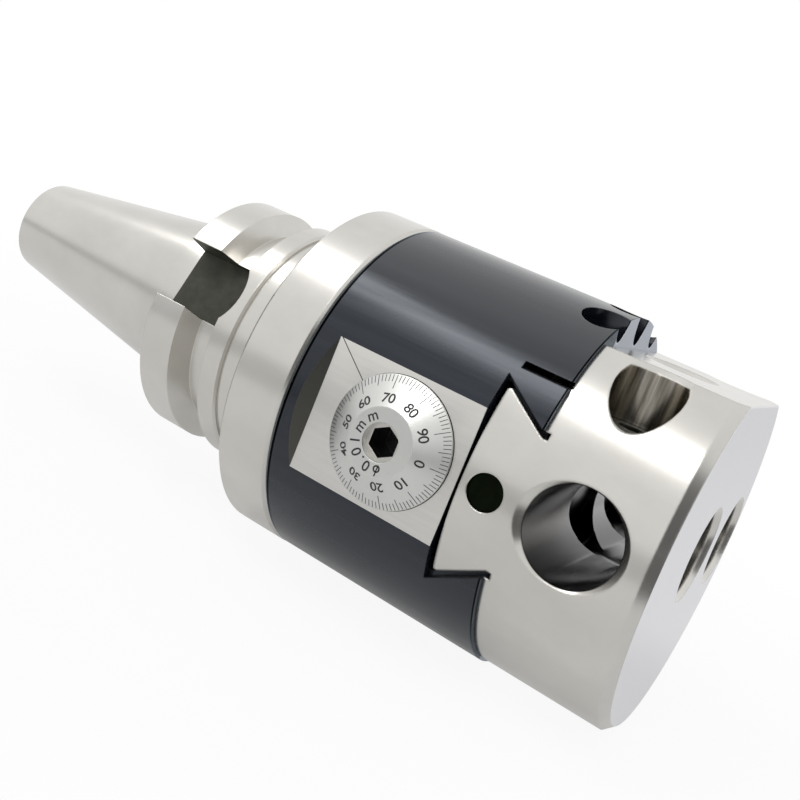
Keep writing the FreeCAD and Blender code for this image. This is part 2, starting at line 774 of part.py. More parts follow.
def make_friction_ring():
    """Spring ring in the screw's groove, whose grip lets the dial be set to zero."""
    body = new_body("dial_friction_ring")
    ring_high = pocket_plane + size("DialGap") + size("DialRimHeight") + size("RingGrooveRise") - press_gap
    ring_low = ring_high - size("RingGrooveWidth") + press_gap * 2
    inner = size("BossRadius") - size("RingGrooveDepth") + press_gap
    turned_on_y(body, "profile", tube(inner, size("BossRadius"), -ring_high, -ring_low), screw_axis)
    return body


# Slide: dovetail tongue, round nose with a top flat, three tool bores and their clamp holes
def make_slide():
    body = new_body("slide")
    end, chamfer = size("SlideEnd"), size("NoseChamfer")
    turned_on_x(body, "profile", [
        (tongue_end, 0), (tongue_end, slide_radius), (end - chamfer, slide_radius),
        (end, slide_radius - chamfer), (end, 0)])
    shape_tongue(body)
    flat = add_sketch(body, "XZ_Plane", "top_flat", (NOTHING, NOTHING, beyond))
    add_outline(flat, [(front_plane, top_flat), (end + 1, top_flat), (end + 1, beyond),
                       (front_plane, beyond)])
    pocket(body, flat, beyond * 2)
    bore_tool_holes(body)
    bore_clamp_holes(body)
    bore_drive_holes(body)
    return body


def shape_tongue(body):
    """Mills away both sides of the tongue, with a relief notch at each root."""
    back = front_plane + size("FaceClearance")
    corner, notch, notch_depth = size("TongueCorner"), size("NotchWidth"), size("NotchDepth")
    root = tongue_half(back)
    for name, side in (("tongue_upper", 1), ("tongue_lower", -1)):
        sketch = add_sketch(body, "XZ_Plane", name, (NOTHING, NOTHING, beyond))
        half = tongue_half(tongue_end)
        add_outline(sketch, [
            (tongue_end - 1, (half - corner) * side), (tongue_end, (half - corner) * side),
            (tongue_end + corner, tongue_half(tongue_end + corner) * side), (back, root * side),
            (back + notch_depth, root * side), (back + notch_depth, (root + notch) * side),
            (back, (root + notch) * side), (back, beyond * side), (tongue_end - 1, beyond * side)])
        pocket(body, sketch, beyond * 2)


def bore_tool_holes(body):
    radius = size("ToolBoreRadius")
    flare = radius + size("CrossChamfer")
    ledge = slide_radius - size("CrossChamfer")
    turned_on_y(body, "cross_bore", [
        (0, -beyond), (flare + (beyond - slide_radius), -beyond), (radius, -ledge), (radius, ledge),
        (flare + (beyond - slide_radius), beyond), (0, beyond)], size("CrossBorePlace"), removes=True)
    # The two bores along the axis grip the bar on two lands, with a relief between them
    end, chamfer = size("SlideEnd"), size("BoreChamfer")
    start, relief_start, relief_end = size("AxialBoreStart"), size("BoreReliefStart"), size("BoreReliefEnd")
    relief = radius + size("BoreReliefDepth")
    for name, height in (("centre_bore", NOTHING), ("outer_bore", second_bore)):
        turned_on_x(body, name, [
            (start, 0), (start, radius), (relief_start, radius), (relief_start, relief), (relief_end, relief),
            (relief_end, radius), (end - chamfer, radius), (end + 1, radius + chamfer + 1), (end + 1, 0)],
            height, removes=True)


def clamp_places():
    """Name, x place, y place of each clamp screw, which all come down from the top flat."""
    return [("clamp_screw_cross", size("CrossBorePlace"), size("ClampInset") - slide_radius),
            ("clamp_screw_centre", size("CentreClampPlace"), NOTHING),
            ("clamp_screw_outer", size("OuterClampPlace"), second_bore)]


def bore_clamp_holes(body):
    hole, chamfer, top = size("ClampRadius") + clearance, size("ClampChamfer"), top_flat
    bottom = size("ToolBoreRadius") / 2
    for name, place, depth in clamp_places():
        turned_on_z(body, name + "_hole", [
            (0, bottom), (hole, bottom), (hole, top - chamfer), (hole + chamfer, top),
            (hole + chamfer, beyond), (0, beyond)], place, depth, removes=True)


def bore_drive_holes(body):
    post = size("PostRadius") + press_gap
    post_floor = size("PostEnd") + size("PostEndGap")
    turned_on_x(body, "post_bore", [
        (tongue_end - 1, 0), (tongue_end - 1, post), (post_floor, post), (post_floor, 0)], removes=True)
    plug = size("PlugRadius") + press_gap
    turned_on_y(body, "plug_bore", [(0, -beyond), (plug, -beyond), (plug, -1), (0, -1)],
                size("PlugPlace"), removes=True)
    reach = size("StopPinReach") - size("TongueGap") + size("StopSlotFloorGap")
    half_length = size("StopPinRadius") + size("Travel") + size("StopSlotEndGap")
    half_width = size("StopPinRadius") + size("StopSlotSideGap")
    sketch = add_sketch(body, "YZ_Plane", "stop_slot", (NOTHING, -size("StopPinPlace"), tongue_end - 1))
    add_outline(sketch, [(-half_length, -half_width), (half_length, -half_width),
                         (half_length, half_width), (-half_length, half_width)])
    pocket(body, sketch, reach + 1, backwards=True)


# Drive nut with its post in the tongue, the plug that locks it and the stop pin
def make_drive_nut():
    body = new_body("drive_nut")
    half_width, half_length = size("NutHalfWidth"), size("NutHalfLength")
    shelf = tongue_end - size("NutShelfGap") - size("NutShoulder")
    block = add_sketch(body, "XZ_Plane", "block", (NOTHING, NOTHING, -half_length))
    low = screw_axis - size("NutDepth")
    add_outline(block, [(low, -half_width), (shelf, -half_width), (shelf, half_width), (low, half_width)])
    pad(body, block, half_length * 2)
    post = add_sketch(body, "YZ_Plane", "post", (NOTHING, NOTHING, shelf))
    add_circle(post, 0, 0, size("PostRadius"))
    pad(body, post, size("PostEnd") - shelf)
    bore = size("ThreadRadius") + clearance
    turned_on_y(body, "thread_bore", tube(0, bore, -(half_length + 1), half_length + 1), screw_axis, removes=True)
    seat = add_sketch(body, "XZ_Plane", "plug_seat", (NOTHING, NOTHING, size("PostRadius") - size("PostFlatDepth")))
    low, high = size("PlugPlace") - size("PlugRadius") - size("PostFlatGap"), size("PostEnd") + 1
    add_outline(seat, [(low, -beyond), (high, -beyond), (high, beyond), (low, beyond)])
    pocket(body, seat, size("PostRadius"), backwards=True)
    return body


def make_nut_plug():
    """Dark screwed plug in the middle of the tongue, which bears on the flat of the nut's post."""
    body = new_body("nut_plug")
    radius = size("PlugRadius")
    outer = slide_radius - size("PlugRecess")
    inner = size("PostRadius") - size("PostFlatDepth") + press_gap
    rim = size("PlugChamfer")
    turned_on_y(body, "profile", [(0, -outer), (radius - rim, -outer), (radius, -(outer - rim)),
                                  (radius, -inner), (0, -inner)], size("PlugPlace"))
    return body


def make_stop_pin():
    body = new_body("stop_pin")
    low = floor_plane - size("StopPinDepth") + size("StopPinSeatGap")
    high = floor_plane + size("StopPinReach") - size("StopPinEndGap")
    radius, rim = size("StopPinRadius"), size("StopPinChamfer")
    sketch = add_sketch(body, "XZ_Plane", "profile", (NOTHING, -size("StopPinPlace"), NOTHING))
    add_outline(sketch, [(low, 0), (low, radius), (high - rim, radius), (high, radius - rim), (high, 0)])
    turn_on(body, sketch, "H_Axis")
    return body


# Screws that lock the slide, and screws that clamp the boring bars
def make_lock_screw(name, step):
    body = new_body(name)
    sketch = lock_screw_sketch(body, "profile", size("LockPitch") * step)
    low = lock_spot() + size("LockEndGap")
    cone = size("LockTipChamfer")
    high = low + size("LockLength")
    radius = size("LockRadius")
    add_outline(sketch, [(low, 0), (low, radius - cone), (low + cone, radius), (high - cone / 2, radius),
                         (high, radius - cone / 2), (high, 0)])
    turn_on(body, sketch, "H_Axis")
    cut_lock_socket(body, high, step)
    return body


def cut_lock_socket(body, top, step):
    """Hexagon socket, sunk along the tilted axis from the screw's outer end."""
    tilt = size("LockTilt")
    rise = size("SlitLow") + size("SlitWidth") / 2
    place = size("LockAtSlit") + sine(tilt) * top
    height = rise + cosine(tilt) * top
    socket = add_sketch(body, "XY_Plane", "socket", (place, size("LockPitch") * step, height), tilt,
                        Vector(0, 1, 0))
    add_outline(socket, hexagon(size("LockHexAcross")))
    pocket(body, socket, size("LockLength") / 2)


def make_clamp_screw(name, place, depth):
    body = new_body(name)
    low = size("ToolBoreRadius") + size("ClampTipGap")
    high = low + size("ClampLength")
    radius, cone = size("ClampRadius"), size("ClampEndChamfer")
    turned_on_z(body, "profile", [(0, low), (radius - cone * 1.5, low), (radius, low + cone * 1.5),
                                  (radius, high - cone), (radius - cone, high), (0, high)], place, depth)
    socket = add_sketch(body, "XY_Plane", "socket", (place, depth, high))
    add_outline(socket, hexagon(size("ClampHexAcross")))
    pocket(body, socket, size("ClampHexDepth"))
    return body


pieces = [
    make_taper_shank(), make_head_body(), make_body_screws(), make_body_dowels(), make_front_bush(),
    make_thrust_washer(), make_rear_bush(), make_disc_springs(), make_lock_nut(), make_rear_cap(),
    make_lead_screw(), make_dial(), make_friction_ring(), make_slide(), make_drive_nut(), make_nut_plug(),
    make_stop_pin()]
pieces += [make_lock_screw(name, step) for name, step in LOCK_STEPS.items()]
pieces += [make_clamp_screw(*place) for place in clamp_places()]

# The slide and all that it carries stand off centre, as they were left after the last setting
carried = ["slide", "drive_nut", "nut_plug"] + [name for name, place, depth in clamp_places()]
for piece in pieces:
    if piece.Label in carried:
        piece.Placement = Placement(Vector(0, size("SlideShift").number, 0), Rotation())
        piece.setExpression(".Placement.Base.y", "Sizes.SlideShift")
document.recompute()

for item in document.Objects:
    if "Invalid" in item.State or "Error" in item.State:
        raise RuntimeError(f"{item.Name} failed: {item.State}")

os.makedirs("parts", exist_ok=True)
for piece in pieces:
    shape = piece.Shape
    if shape.isNull() or not shape.isValid():
        raise RuntimeError(f"{piece.Label} has no valid shape")
    shape.exportStep(f"parts/{piece.Label}.step")
    print(piece.Label, len(shape.Solids), "solid(s)", round(shape.Volume / 1000, 3), "cm3")
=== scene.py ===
import math

import bpy
from mathutils import Matrix, Vector


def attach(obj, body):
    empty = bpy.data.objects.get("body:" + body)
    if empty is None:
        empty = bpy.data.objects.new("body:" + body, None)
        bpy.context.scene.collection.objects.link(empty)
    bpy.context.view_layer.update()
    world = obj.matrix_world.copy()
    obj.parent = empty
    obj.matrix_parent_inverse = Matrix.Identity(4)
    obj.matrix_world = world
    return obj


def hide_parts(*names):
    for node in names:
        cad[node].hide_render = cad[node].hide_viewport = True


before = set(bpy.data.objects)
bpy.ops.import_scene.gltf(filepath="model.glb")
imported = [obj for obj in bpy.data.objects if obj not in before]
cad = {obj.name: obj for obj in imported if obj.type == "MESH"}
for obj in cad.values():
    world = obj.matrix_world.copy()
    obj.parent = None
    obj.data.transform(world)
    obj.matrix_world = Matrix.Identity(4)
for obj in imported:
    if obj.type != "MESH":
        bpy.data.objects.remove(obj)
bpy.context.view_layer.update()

# Taper shank, one forging: a ground 7:24 taper, the flange with the tool changer's groove and
# two drive slots, the neck and the collar. Turned and ground bright steel; the milled slots
# keep the dark skin of the hardening.
slot_turn = math.radians(158.5)
slot_half_width, slot_floor, flange_skin = 0.00812, 0.02245, 0.0314
slot_middle, slot_half_length = 0.0130, 0.01115
steel_dark, steel_light = (0.57, 0.555, 0.52), (0.64, 0.625, 0.59)
crease = math.radians(24)
weld_gap = 0.000002
mark_depth = 0.00002


def let_go():
    bpy.ops.object.select_all(action="DESELECT")


def pick(piece):
    let_go()
    piece.select_set(True)
    bpy.context.view_layer.objects.active = piece


def round_off(piece):
    """Joins the loose triangles of a machined piece, so that its turned faces shade smoothly."""
    pick(piece)
    if piece.data.has_custom_normals:
        bpy.ops.mesh.customdata_custom_splitnormals_clear()
    piece.data.shade_smooth()
    joined = piece.modifiers.new("joined", "WELD")
    joined.merge_threshold = weld_gap
    corners = piece.modifiers.new("corners", "EDGE_SPLIT")
    corners.split_angle = crease


def coat(piece, material):
    piece.data.materials.clear()
    piece.data.materials.append(material)
    for face in piece.data.polygons:
        face.material_index = 0


def machine(names, material):
    """Rounds off the named CAD pieces and gives them their finish."""
    for name in names:
        round_off(cad[name])
        coat(cad[name], material)


class Finish:
    """A surface finish, built up from nodes. A share is a number from 0 to 1 at each point."""

    def __init__(self, name, metallic=1.0, edge=0.0003):
        self.material = bpy.data.materials.new(name)
        self.material.use_nodes = True
        self.nodes = self.material.node_tree.nodes
        self.links = self.material.node_tree.links
        self.shader = self.nodes["Principled BSDF"]
        self.place = self.nodes.new("ShaderNodeTexCoord")
        self.soft_edge = self.nodes.new("ShaderNodeBevel")
        self.soft_edge.samples = 4
        self.soft_edge.inputs["Radius"].default_value = edge
        self.give("Metallic", metallic)

    def feed(self, socket, value):
        """Gives a socket a number, a colour, or what another node works out."""
        if isinstance(value, (int, float)):
            socket.default_value = value
        elif isinstance(value, tuple):
            socket.default_value = (*value, 1)
        else:
            self.links.new(value, socket)

    def give(self, socket_name, value):
        self.feed(self.shader.inputs[socket_name], value)

    def work_out(self, kind, *values):
        node = self.nodes.new("ShaderNodeMath")
        node.operation = kind
        for socket, value in zip(node.inputs, values):
            self.feed(socket, value)
        return node.outputs[0]

    def parts(self, source):
        node = self.nodes.new("ShaderNodeSeparateXYZ")
        self.feed(node.inputs[0], source)
        return node.outputs

    def mapped(self, scale=(1, 1, 1), turn=0.0, centre=(0, 0, 0)):
        """The place on the piece, measured from a centre, turned back about X and scaled."""
        node = self.nodes.new("ShaderNodeMapping")
        node.inputs["Scale"].default_value = scale
        node.inputs["Rotation"].default_value = (-turn, 0, 0)
        node.inputs["Location"].default_value = [-step for step in centre]
        self.feed(node.inputs["Vector"], self.place.outputs["Object"])
        return node.outputs[0]

    def grain(self, scale, detail=3.0):
        """Noise with so many patches to the metre along X, Y and Z."""
        node = self.nodes.new("ShaderNodeTexNoise")
        node.inputs["Scale"].default_value = 1.0
        node.inputs["Detail"].default_value = detail
        node.inputs["Roughness"].default_value = 0.6
        self.feed(node.inputs["Vector"], self.mapped(scale))
        return node.outputs["Fac"]

    def spread(self, source, low=0.0, high=1.0, start=0.3, end=0.7):
        """Goes from low to high while the source goes from start to end."""
        node = self.nodes.new("ShaderNodeMapRange")
        for name, value in (("From Min", start), ("From Max", end), ("To Min", low), ("To Max", high)):
            node.inputs[name].default_value = value
        self.feed(node.inputs["Value"], source)
        return node.outputs[0]

    def blend(self, share, first, second):
        """Mixes two colours, where share 1 is all of the second."""
        node = self.nodes.new("ShaderNodeMix")
        node.data_type = "RGBA"
        for index, value in ((0, share), (6, first), (7, second)):
            self.feed(node.inputs[index], value)
        return node.outputs[2]

    def choose(self, share, first, second):
        """Mixes two numbers, where share 1 is all of the second."""
        node = self.nodes.new("ShaderNodeMix")
        for index, value in ((0, share), (2, first), (3, second)):
            self.feed(node.inputs[index], value)
        return node.outputs[0]

    def mottle(self, scale, first, second, detail=4.0):
        return self.blend(self.spread(self.grain(scale, detail)), first, second)

    def above(self, value, limit):
        return self.work_out("GREATER_THAN", value, limit)

    def below(self, value, limit):
        return self.work_out("LESS_THAN", value, limit)

    def about(self, value, middle, reach):
        return self.work_out("COMPARE", value, middle, reach)

    def within(self, radius, across, up):
        """The inside of a cylinder, by a point's two distances from its axis."""
        square = self.work_out("ADD", self.all_of(across, across), self.all_of(up, up))
        return self.below(square, radius ** 2)

    def all_of(self, share, *others):
        for other in others:
            share = self.work_out("MULTIPLY", share, other)
        return share

    def any_of(self, share, *others):
        for other in others:
            share = self.work_out("MAXIMUM", share, other)
        return share

    def relief(self, height, strength):
        """Raises the surface by its marks, over edges that are a little broken."""
        node = self.nodes.new("ShaderNodeBump")
        node.inputs["Strength"].default_value = strength
        node.inputs["Distance"].default_value = mark_depth
        self.feed(node.inputs["Height"], height)
        self.feed(node.inputs["Normal"], self.soft_edge.outputs[0])
        self.give("Normal", node.outputs[0])

    def cutter_marks(self):
        """Rings left by turning on round faces, and straight grinding lines on faces square to the axis."""
        rings = self.grain((2400, 14, 14))
        lines = self.grain((14, 2400, 40))
        facing = self.work_out("ABSOLUTE", self.parts(self.place.outputs["Normal"])[0])
        return self.choose(self.above(facing, 0.9), rings, lines)


def ground_steel(name, roughness=0.23, light=steel_light, dark=steel_dark, edge=0.0003):
    """Bright metal with cutter marks and faint clouds, ready for darker places to be added."""
    finish = Finish(name, edge=edge)
    marks = finish.cutter_marks()
    finish.colour = finish.mottle((38, 60, 60), dark, light)
    finish.dull = finish.spread(marks, roughness - 0.006, roughness + 0.012)
    finish.give("Base Color", finish.colour)
    finish.give("Roughness", finish.dull)
    finish.relief(marks, strength=0.008)
    return finish


shank_steel = ground_steel("shank_steel")
along, deep, across = shank_steel.parts(shank_steel.mapped(turn=slot_turn))
in_slot = shank_steel.all_of(
    shank_steel.about(across, 0.0, slot_half_width),
    shank_steel.above(shank_steel.work_out("ABSOLUTE", deep), slot_floor),
    shank_steel.about(along, slot_middle, slot_half_length),
    shank_steel.within(flange_skin, deep, across))
slot_skin = shank_steel.mottle((220, 220, 220), (0.030, 0.031, 0.022), (0.062, 0.064, 0.046))
shank_steel.give("Base Color", shank_steel.blend(in_slot, shank_steel.colour, slot_skin))
shank_steel.give("Roughness", shank_steel.choose(in_slot, shank_steel.dull, 0.5))
shank_steel.give("Metallic", shank_steel.choose(in_slot, 1.0, 0.35))
machine(["taper_shank"], shank_steel.material)

# Head body, turned from bar and blackened with hot oxide, then milled: the dial's flat is cut
# last and stays bright, and so does the face in front of the lock screws. The oxide shows the
# bar's drawn streaks; painted light makes it greyer on top, and painted shade makes it black
# in the joints at both ends.
flat_depth, flat_start, flat_skin = 0.0391, 0.0575, 0.00004
wall_foot, wall_skin = 0.0576, 0.00005
screw_axis, dial_shadow_radius = 0.0772, 0.01412
rear_joint_end, front_edge_start, front_face = 0.0525, 0.10515, 0.10547
bright_front_side = -0.0155

oxide = Finish("black_oxide", metallic=0.0)
turning_marks = oxide.cutter_marks()
drawn_streaks = oxide.grain((9, 260, 260))
along, side, height = oxide.parts(oxide.place.outputs["Object"])
facing_up = oxide.parts(oxide.place.outputs["Normal"])[2]

oxide_and_painted_light = oxide.mottle((26, 44, 44), (0.003, 0.004, 0.007), (0.008, 0.010, 0.016), detail=5.0)
oxide_and_painted_light = oxide.blend(oxide.spread(drawn_streaks, 0.0, 0.6, start=0.42, end=0.70), oxide_and_painted_light, (0.018, 0.021, 0.030))
# Painted light: faces that look upwards are painted greyer, for the light that falls on them from above.
oxide_and_painted_light = oxide.blend(oxide.spread(facing_up, start=0.55, end=0.78), oxide_and_painted_light, (0.046, 0.047, 0.050))

on_wall = oxide.all_of(
    oxide.about(oxide.work_out("SUBTRACT", along, side), wall_foot + flat_depth, wall_skin),
    oxide.below(side, wall_skin - flat_depth))
# The sloping wall at the end of the flat is brown low down and goes nearly black towards the top.
up_the_wall = oxide.spread(height, start=-0.022, end=0.020)
wall_darker_upward = oxide.blend(up_the_wall, (0.085, 0.080, 0.062), (0.020, 0.019, 0.016))
oxide_and_painted_light = oxide.blend(on_wall, oxide_and_painted_light, wall_darker_upward)
# Painted shade: the joints at both ends are painted black and without shine, for the shade in the gaps
# between the parts.
in_joint_shade = oxide.any_of(oxide.below(along, rear_joint_end), oxide.above(along, front_edge_start))
oxide_and_painted_light = oxide.blend(in_joint_shade, oxide_and_painted_light, (0.002, 0.002, 0.002))
on_front = oxide.all_of(oxide.above(along, front_face), oxide.above(side, bright_front_side))
oxide_and_painted_light = oxide.blend(on_front, oxide_and_painted_light, (0.46, 0.46, 0.48))

on_flat = oxide.all_of(oxide.about(side, -flat_depth, flat_skin), oxide.above(along, flat_start))
flat_steel_and_painted_shadow = oxide.mottle((60, 60, 900), (0.59, 0.58, 0.55), (0.63, 0.62, 0.59), detail=3.0)
# Painted shadow: a thin black ring on the flat just outside the dial's rim, for the shade in the gap round
# the dial.
from_dial = oxide.parts(oxide.mapped(centre=(screw_axis, 0, 0)))
in_dial_shadow = oxide.within(dial_shadow_radius, from_dial[0], from_dial[2])
flat_steel_and_painted_shadow = oxide.blend(in_dial_shadow, flat_steel_and_painted_shadow, (0.03, 0.03, 0.03))

bright = oxide.any_of(on_flat, on_front)
dull = oxide.choose(on_wall, oxide.spread(drawn_streaks, 0.14, 0.29, start=0.36, end=0.64), 0.6)
oxide.give("Base Color", oxide.blend(on_flat, oxide_and_painted_light, flat_steel_and_painted_shadow))
oxide.give("Metallic", oxide.any_of(bright, in_joint_shade))
oxide.give("Roughness", oxide.choose(bright, dull, 0.34))
oxide.give("Specular IOR Level", 0.5)
oxide.give("Specular Tint", (0.86, 0.92, 1.0))
oxide.relief(turning_marks, strength=0.05)
machine(["head_body"], oxide.material)

# Index line, cut in the flat with a fine engraver's point from the corner to the dial's edge,
# and filled with black ink. The dial's own marks are filled with the same ink.
dial_centre = Vector((screw_axis, 0, 0))
index_angle = math.radians(141.6)
index_from, index_to = 0.0141, 0.0248
index_height, index_width = 0.00004, 0.00020

ink = Finish("engraving_ink", metallic=0.0)
ink_colour = ink.mottle((900, 900, 900), (0.012, 0.012, 0.014), (0.045, 0.045, 0.048), detail=3.0)
ink.give("Base Color", ink_colour)
ink.give("Roughness", 0.6)

index_out = Vector((math.cos(index_angle), 0, math.sin(index_angle)))
index_middle = (index_from + index_to) / 2
let_go()
bpy.ops.mesh.primitive_cube_add(size=1)
index_line = bpy.context.object
index_line.name = "index_line"
index_line.scale = (index_to - index_from, index_height, index_width)
index_line.rotation_euler = (0, -index_angle, 0)
index_line.location = dial_centre + index_out * index_middle - Vector((0, flat_depth, 0))
bpy.ops.object.transform_apply(location=True, rotation=True, scale=True)
coat(index_line, ink.material)
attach(index_line, "shank_body")

# Fixings and bearings inside the head: four socket screws and two dowels to the shank, bronze
# bushes, thrust washer and nut for the lead screw, its disc springs and lock nut, and a cap that
# closes the bore. Screws and springs are blackened; the lead screw is bright, with painted shade
# in its socket.
socket_radius, socket_middle, socket_half_depth = 0.00352, 0.0378, 0.00466

blackened = Finish("blackened_screw", metallic=0.0)
screw_colour = blackened.mottle((400, 400, 400), (0.006, 0.007, 0.005), (0.020, 0.021, 0.018))
blackened.give("Base Color", screw_colour)
blackened.give("Roughness", blackened.spread(blackened.grain((1500, 1500, 1500)), 0.30, 0.46))
blackened.give("Specular IOR Level", 0.35)
blackened.relief(blackened.grain((2500, 2500, 2500)), strength=0.1)
machine(["body_screws", "disc_springs", "rear_cap", "lock_nut", "dial_friction_ring"], blackened.material)

bronze = ground_steel("bush_bronze", roughness=0.34, light=(0.62, 0.43, 0.22), dark=(0.50, 0.33, 0.16))
machine(["front_bush", "thrust_washer", "rear_bush", "drive_nut"], bronze.material)

pin_steel = ground_steel("pin_steel", roughness=0.24)
from_screw = pin_steel.parts(pin_steel.mapped(centre=dial_centre))
# Painted shade: the inside of the lead screw's hexagon socket is painted black and without shine.
in_socket_shade = pin_steel.all_of(
    pin_steel.within(socket_radius, from_screw[0], from_screw[2]),
    pin_steel.about(from_screw[1], -socket_middle, socket_half_depth))
pin_steel.give("Base Color", pin_steel.blend(in_socket_shade, pin_steel.colour, (0.006, 0.006, 0.006)))
pin_steel.give("Metallic", pin_steel.choose(in_socket_shade, 1.0, 0.0))
machine(["body_dowels", "stop_pin", "lead_screw"], pin_steel.material)

# Dial, a bright turned ring on the lead screw's boss: a rim, a cone for the scale, and a flat
# hub with an eye. Outlines are given as radii and as heights out from the head's axis.
rim_radius, hub_radius, eye_radius, boss_radius = 0.0140, 0.0073, 0.0041, 0.0060
base_height, rim_height, hub_height, seat_height = 0.0393, 0.0398, 0.0441, 0.0425
cone = math.atan2(hub_height - rim_height, rim_radius - hub_radius)
about_dial_axis = (math.pi / 2, 0, 0)


def on_dial_axis(height):
    return dial_centre - Vector((0, height, 0))


def turn_ring(name, outline):
    """Turns a closed outline of radii and heights about the dial's axis, circle after circle."""
    radius, height = outline[0]
    let_go()
    bpy.ops.mesh.primitive_circle_add(
        vertices=128, radius=radius, location=on_dial_axis(height), rotation=about_dial_axis)
    ring = bpy.context.object
    ring.name = name
    bpy.ops.object.transform_apply(location=True, rotation=True, scale=True)
    bpy.ops.object.mode_set(mode="EDIT")
    bpy.ops.mesh.select_mode(type="EDGE")
    bpy.ops.mesh.select_all(action="SELECT")
    for next_radius, next_height in outline[1:] + outline[:1]:
        bpy.ops.mesh.extrude_region_move(TRANSFORM_OT_translate={"value": (0, height - next_height, 0)})
        growth = next_radius / radius
        bpy.ops.transform.resize(value=(growth, 1, growth), center_override=dial_centre)
        radius, height = next_radius, next_height
    bpy.ops.mesh.select_all(action="SELECT")
    bpy.ops.mesh.remove_doubles(threshold=weld_gap)
    bpy.ops.mesh.normals_make_consistent(inside=False)
    bpy.ops.object.mode_set(mode="OBJECT")
    bpy.ops.object.shade_smooth_by_angle(angle=crease)
    return ring


dial_ring = turn_ring("dial_ring", [
    (boss_radius, base_height), (rim_radius, base_height),
    (rim_radius, rim_height), (hub_radius, hub_height),
    (eye_radius, hub_height), (eye_radius, seat_height), (boss_radius, seat_height)])
dial_steel = ground_steel("dial_steel", roughness=0.35, light=(0.66, 0.66, 0.64), dark=(0.60, 0.60, 0.58))
coat(dial_ring, dial_steel.material)
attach(dial_ring, "dial_body")
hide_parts("dial")

# End of the lead screw, bright steel, seen in the dial's eye: a boss just under the hub with a
# broached hexagon socket, by which the screw is turned.
boss_height, eye_play = 0.0408, 0.00005
key_across, key_depth, key_middle = 0.006, 0.006, 0.0420


def add_round(sides, radius, depth, middle_height):
    let_go()
    bpy.ops.mesh.primitive_cylinder_add(
        vertices=sides, radius=radius, depth=depth,
        location=on_dial_axis(middle_height), rotation=about_dial_axis)
    return bpy.context.object


key_hole = add_round(6, key_across / math.sqrt(3), key_depth, key_middle)
screw_end = add_round(96, boss_radius - eye_play, seat_height - boss_height, (seat_height + boss_height) / 2)
screw_end.name = "screw_end"
broached = screw_end.modifiers.new("broached", "BOOLEAN")
broached.operation = "DIFFERENCE"
broached.object = key_hole
pick(screw_end)
bpy.ops.object.modifier_apply(modifier="broached")
bpy.ops.object.transform_apply(location=True, rotation=True, scale=True)
bpy.data.objects.remove(key_hole)
bpy.ops.object.shade_smooth_by_angle(angle=crease)
coat(screw_end, pin_steel.material)
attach(screw_end, "dial_body")

# Marks of the dial, engraved and inked: one hundred lines on the cone with a number at every
# tenth, and the value of one line round the hub. The line of 60 stands at the index. The first
# two letters of the value share an angle, so that they make the sign for a diameter.
lines_round, index_step = 100, 60
line_turn = 2 * math.pi / lines_round
line_width, rim_margin, ink_rise = 0.00014, 0.00015, 0.00002
tenth_length, fifth_length, line_length = 0.0034, 0.0026, 0.0017
number_size, number_radius = 0.0031, 0.0090
value_size, value_radius = 0.0032, 0.0056
value_letters, value_degrees = "o/0.01mm", (285, 285, 260, 242, 224, 200, 168, 131)
digit_spacing, stroke_growth = 0.95, 0.012
marks = []


def stand_on_dial(mark, angle, radius, slope):
    """Sets a mark drawn in its own X-Y plane on the dial, its top pointing outwards."""
    out = Vector((math.cos(angle), 0, math.sin(angle)))
    height = hub_height - max(0.0, radius - hub_radius) * math.tan(slope)
    upward = out * math.cos(slope) + Vector((0, math.sin(slope), 0))
    normal = out * math.sin(slope) - Vector((0, math.cos(slope), 0))
    turn = Matrix((upward.cross(normal), upward, normal)).transposed().to_4x4()
    mark.matrix_world = Matrix.Translation(on_dial_axis(height) + out * radius + normal * ink_rise) @ turn
    pick(mark)
    bpy.ops.object.transform_apply(location=True, rotation=True, scale=True)
    marks.append(mark)


def letter(words, size, angle, radius, slope):
    let_go()
    bpy.ops.object.text_add()
    drawn = bpy.context.object.data
    drawn.body = words
    drawn.size = size
    drawn.align_x = "CENTER"
    drawn.align_y = "CENTER"
    drawn.space_character = digit_spacing
    drawn.offset = size * stroke_growth
    bpy.ops.object.convert(target="MESH")
    stand_on_dial(bpy.context.object, angle, radius, slope)


def line_angle(step):
    return index_angle - (step - index_step) * line_turn


for step in range(lines_round):
    length = tenth_length if step % 10 == 0 else fifth_length if step % 5 == 0 else line_length
    let_go()
    bpy.ops.mesh.primitive_plane_add(size=1)
    line = bpy.context.object
    line.data.transform(Matrix.Diagonal((line_width, length, 1, 1)))
    stand_on_dial(line, line_angle(step), rim_radius - rim_margin - length / 2 * math.cos(cone), cone)
for step in range(0, lines_round, 10):
    letter(str(step), number_size, line_angle(step), number_radius, cone)
for sign, degrees in zip(value_letters, value_degrees):
    letter(sign, value_size, math.radians(degrees), value_radius, 0.0)
let_go()
for mark in marks:
    mark.select_set(True)
bpy.context.view_layer.objects.active = marks[0]
bpy.ops.object.join()
dial_marks = bpy.context.object
dial_marks.name = "dial_marks"
coat(dial_marks, ink.material)
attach(dial_marks, "dial_body")

# Slide, hardened and ground all over, with the dovetail tongue behind and three tool bores.
# The clamp screws' holes come down from its flat: they are tapped after grinding and stay brown
# and streaky with oil. The bores are honed; painted shade makes them darker inside than the
# ground faces, and painted light makes the nose face paler.
slide_shift, bore_pitch, cross_place = 0.0016, 0.0280, 0.1185
clamp_places = ((cross_place, -0.0270), (0.1170, slide_shift), (0.1250, slide_shift + bore_pitch))
clamp_hole_radius, clamp_hole_middle, clamp_hole_reach = 0.00712, 0.0220, 0.0113
axial_radius, axial_middle, axial_reach = 0.01036, 0.1200, 0.0143
cross_radius, nose_face = 0.01006, 0.13547

